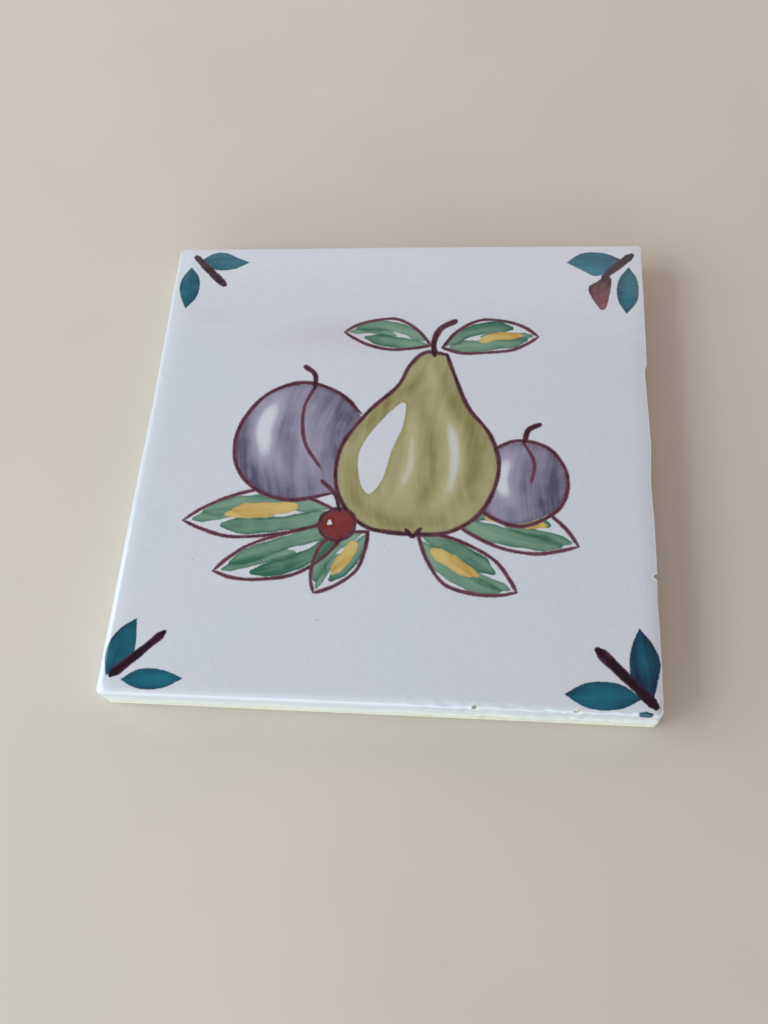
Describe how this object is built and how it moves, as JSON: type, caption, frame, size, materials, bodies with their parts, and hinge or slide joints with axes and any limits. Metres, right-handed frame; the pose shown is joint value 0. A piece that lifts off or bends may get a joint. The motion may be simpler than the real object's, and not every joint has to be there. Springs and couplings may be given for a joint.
{
  "type": "tile",
  "caption": "Square glazed earthenware wall tile with a rounded arris, a painted face and a keyed back for bedding.",
  "frame": {"origin": "centre of the back, on the plane of its margin and ribs, which the tile is bedded or rests on", "axes": "+Z out of the glazed face, +X to the right edge, -Y to the front edge, seen as the painting stands upright"},
  "size_m": [0.108, 0.108, 0.008],
  "materials": {
    "glazed_earthenware": "gloss"
  },
  "bodies": {
    "root": {"tile": "glazed_earthenware"}
  },
  "joints": []
}
